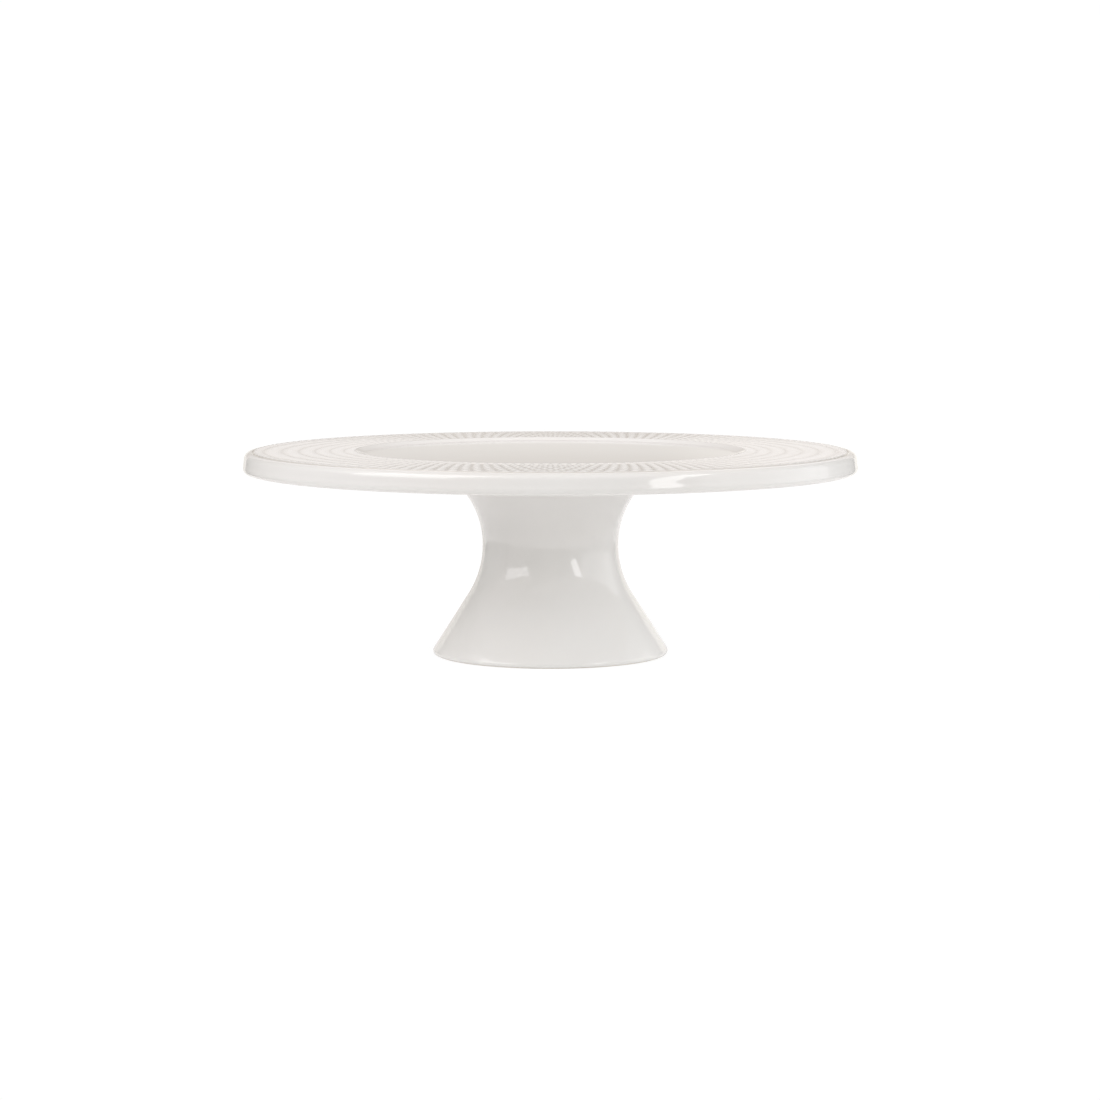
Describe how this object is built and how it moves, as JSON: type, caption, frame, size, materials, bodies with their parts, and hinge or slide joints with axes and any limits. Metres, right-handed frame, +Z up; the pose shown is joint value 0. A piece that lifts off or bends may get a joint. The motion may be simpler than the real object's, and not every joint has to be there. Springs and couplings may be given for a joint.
{
  "type": "footed cake stand",
  "caption": "Low footed porcelain cake stand: round plate with a patterned border and beaded rim on a waisted hollow pedestal.",
  "frame": {"origin": "on the stand's vertical axis, in the plane that the foot rests on", "axes": "+Z up along the axis of the plate and pedestal; X and Y are equivalent"},
  "size_m": [0.3, 0.3, 0.1004],
  "materials": {
    "porcelain": "gloss",
    "silicone": "satin",
    "steel": "satin",
    "cement": "matte",
    "black_rubber": "matte"
  },
  "bodies": {
    "root": {"plate": "porcelain", "pedestal": "porcelain", "seat_gasket": "silicone", "threaded_stud": "steel", "stud_cement": "cement", "rubber_washer": "black_rubber", "steel_washer": "steel", "hex_nut": "steel"}
  },
  "joints": []
}
